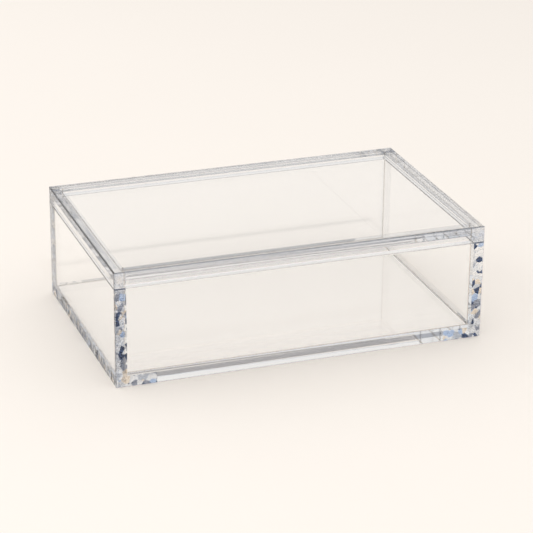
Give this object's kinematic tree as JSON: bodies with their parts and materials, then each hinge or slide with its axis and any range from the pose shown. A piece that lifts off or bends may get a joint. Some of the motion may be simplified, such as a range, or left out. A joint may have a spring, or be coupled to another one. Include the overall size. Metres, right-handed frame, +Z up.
{
  "type": "storage box",
  "caption": "Clear rectangular storage box cemented from thick acrylic sheet, with a flush framed lid that lifts straight off.",
  "frame": {"origin": "middle of the box's underside, on the surface it stands on", "axes": "+X along the long side to the right seen from the front, +Y from front to back, +Z up"},
  "size_m": [0.2, 0.128, 0.0625],
  "materials": {
    "acrylic_sheet": "clear polished cast acrylic",
    "acrylic_lid_sheet": "clear polished cast acrylic",
    "acrylic_lid_rail": "clear acrylic with polished edges"
  },
  "bodies": {
    "box": {"bottom_panel": "acrylic_sheet", "front_wall": "acrylic_sheet", "back_wall": "acrylic_sheet", "left_wall": "acrylic_sheet", "right_wall": "acrylic_sheet"},
    "lid": {"lid_panel": "acrylic_lid_sheet", "lid_front_rail": "acrylic_lid_rail", "lid_back_rail": "acrylic_lid_rail", "lid_left_rail": "acrylic_lid_rail", "lid_right_rail": "acrylic_lid_rail"}
  },
  "joints": [
    {"name": "lid_lift", "type": "slide", "parent": "box", "child": "lid", "axis": [0, 0, 1], "range_m": [0, 0.06]}
  ]
}
